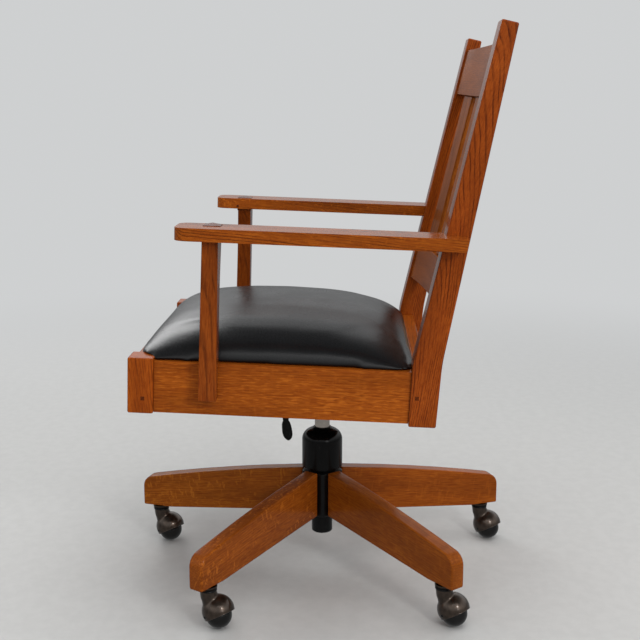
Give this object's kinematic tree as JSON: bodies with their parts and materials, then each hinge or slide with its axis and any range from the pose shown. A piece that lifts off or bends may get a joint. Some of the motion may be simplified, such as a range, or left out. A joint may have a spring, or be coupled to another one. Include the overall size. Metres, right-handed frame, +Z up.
{
  "type": "office chair",
  "caption": "Mission style swivel desk armchair: oak frame with slatted back and flat arms, black padded seat, star base on hooded ball casters.",
  "frame": {"origin": "on the floor under the middle of the whole chair's bounding box", "axes": "+Z up, the sitter faces -Y, the sitter's left is +X; the column's axis is parallel to Z at x = 0.0295"},
  "size_m": [0.6815, 0.7137, 0.9839],
  "materials": {
    "oak": "satin",
    "plywood": "matte",
    "leather": "satin",
    "black_steel": "satin",
    "black_plastic": "satin",
    "bright_steel": "polished",
    "bronze": "antique"
  },
  "bodies": {
    "base": {"base_arm_1": "oak", "base_arm_2": "oak", "base_arm_3": "oak", "base_arm_4": "oak", "base_arm_5": "oak", "hub": "black_steel", "gas_cylinder": "black_steel", "column_foot": "black_steel", "bell_cover": "black_plastic", "caster_socket_1": "bronze", "caster_socket_2": "bronze", "caster_socket_3": "bronze", "caster_socket_4": "bronze", "caster_socket_5": "bronze"},
    "lift": {"lift_rod": "bright_steel"},
    "mechanism": {"tilt_housing": "black_steel", "tilt_pin": "bright_steel", "tilt_spring": "black_steel"},
    "lever": {"lift_lever": "black_steel"},
    "knob": {"tension_knob": "black_plastic"},
    "seat": {"tilt_plate": "black_steel", "front_post_left": "oak", "back_post_left": "oak", "side_rail_left": "oak", "armrest_left": "oak", "arm_prop_left": "oak", "front_post_right": "oak", "back_post_right": "oak", "side_rail_right": "oak", "armrest_right": "oak", "arm_prop_right": "oak", "front_rail": "oak", "rear_rail": "oak", "batten_front": "oak", "batten_rear": "oak", "lower_rail": "oak", "crest_rail": "oak", "back_slat_1": "oak", "back_slat_2": "oak", "back_slat_3": "oak", "back_slat_4": "oak", "back_slat_5": "oak", "seat_board": "plywood", "cushion": "leather"},
    "caster_1": {"caster_hood_1": "bronze", "caster_axle_1": "bright_steel"},
    "ball_1": {"caster_ball_1": "black_plastic"},
    "caster_2": {"caster_hood_2": "bronze", "caster_axle_2": "bright_steel"},
    "ball_2": {"caster_ball_2": "black_plastic"},
    "caster_3": {"caster_hood_3": "bronze", "caster_axle_3": "bright_steel"},
    "ball_3": {"caster_ball_3": "black_plastic"},
    "caster_4": {"caster_hood_4": "bronze", "caster_axle_4": "bright_steel"},
    "ball_4": {"caster_ball_4": "black_plastic"},
    "caster_5": {"caster_hood_5": "bronze", "caster_axle_5": "bright_steel"},
    "ball_5": {"caster_ball_5": "black_plastic"}
  },
  "joints": [
    {"name": "seat_lift", "type": "slide", "parent": "base", "child": "lift", "axis": [0, 0, 1], "range_m": [0, 0.1]},
    {"name": "seat_swivel", "type": "hinge", "parent": "lift", "child": "mechanism", "pos_m": [0.0295, 0, 0.3], "axis": [0, 0, 1], "continuous": true},
    {"name": "seat_tilt", "type": "hinge", "parent": "mechanism", "child": "seat", "pos_m": [0.0295, -0.036, 0.33], "axis": [-1, 0, 0], "range_deg": [0, 12], "stiffness_Nm_per_rad": 60, "springref_deg": -28.65},
    {"name": "lever_lift", "type": "hinge", "parent": "mechanism", "child": "lever", "pos_m": [0.064, -0.058, 0.329], "axis": [0, -1, 0], "range_deg": [0, 4], "stiffness_Nm_per_rad": 0.6, "springref_deg": -11.46},
    {"name": "knob_turn", "type": "hinge", "parent": "mechanism", "child": "knob", "pos_m": [0.0295, -0.066, 0.293], "axis": [0, 0, -1], "range_deg": [-360, 360]},
    {"name": "caster_1_swivel", "type": "hinge", "parent": "base", "child": "caster_1", "pos_m": [0.28911, 0.21173, 0.09], "axis": [0, 0, 1], "continuous": true},
    {"name": "caster_1_roll", "type": "hinge", "parent": "caster_1", "child": "ball_1", "pos_m": [0.29145, 0.22939, 0.0222], "axis": [-0.299, -0.3986, 0.867], "continuous": true},
    {"name": "caster_2_swivel", "type": "hinge", "parent": "base", "child": "caster_2", "pos_m": [-0.09164, 0.31233, 0.09], "axis": [0, 0, 1], "continuous": true},
    {"name": "caster_2_roll", "type": "hinge", "parent": "caster_2", "child": "ball_2", "pos_m": [-0.0893, 0.32999, 0.0222], "axis": [-0.299, -0.3986, 0.867], "continuous": true},
    {"name": "caster_3_swivel", "type": "hinge", "parent": "base", "child": "caster_3", "pos_m": [-0.30498, -0.0187, 0.09], "axis": [0, 0, 1], "continuous": true},
    {"name": "caster_3_roll", "type": "hinge", "parent": "caster_3", "child": "ball_3", "pos_m": [-0.30263, -0.00104, 0.0222], "axis": [-0.299, -0.3986, 0.867], "continuous": true},
    {"name": "caster_4_swivel", "type": "hinge", "parent": "base", "child": "caster_4", "pos_m": [-0.05607, -0.32389, 0.09], "axis": [0, 0, 1], "continuous": true},
    {"name": "caster_4_roll", "type": "hinge", "parent": "caster_4", "child": "ball_4", "pos_m": [-0.05373, -0.30622, 0.0222], "axis": [-0.299, -0.3986, 0.867], "continuous": true},
    {"name": "caster_5_swivel", "type": "hinge", "parent": "base", "child": "caster_5", "pos_m": [0.31109, -0.18147, 0.09], "axis": [0, 0, 1], "continuous": true},
    {"name": "caster_5_roll", "type": "hinge", "parent": "caster_5", "child": "ball_5", "pos_m": [0.31343, -0.16381, 0.0222], "axis": [-0.299, -0.3986, 0.867], "continuous": true}
  ]
}
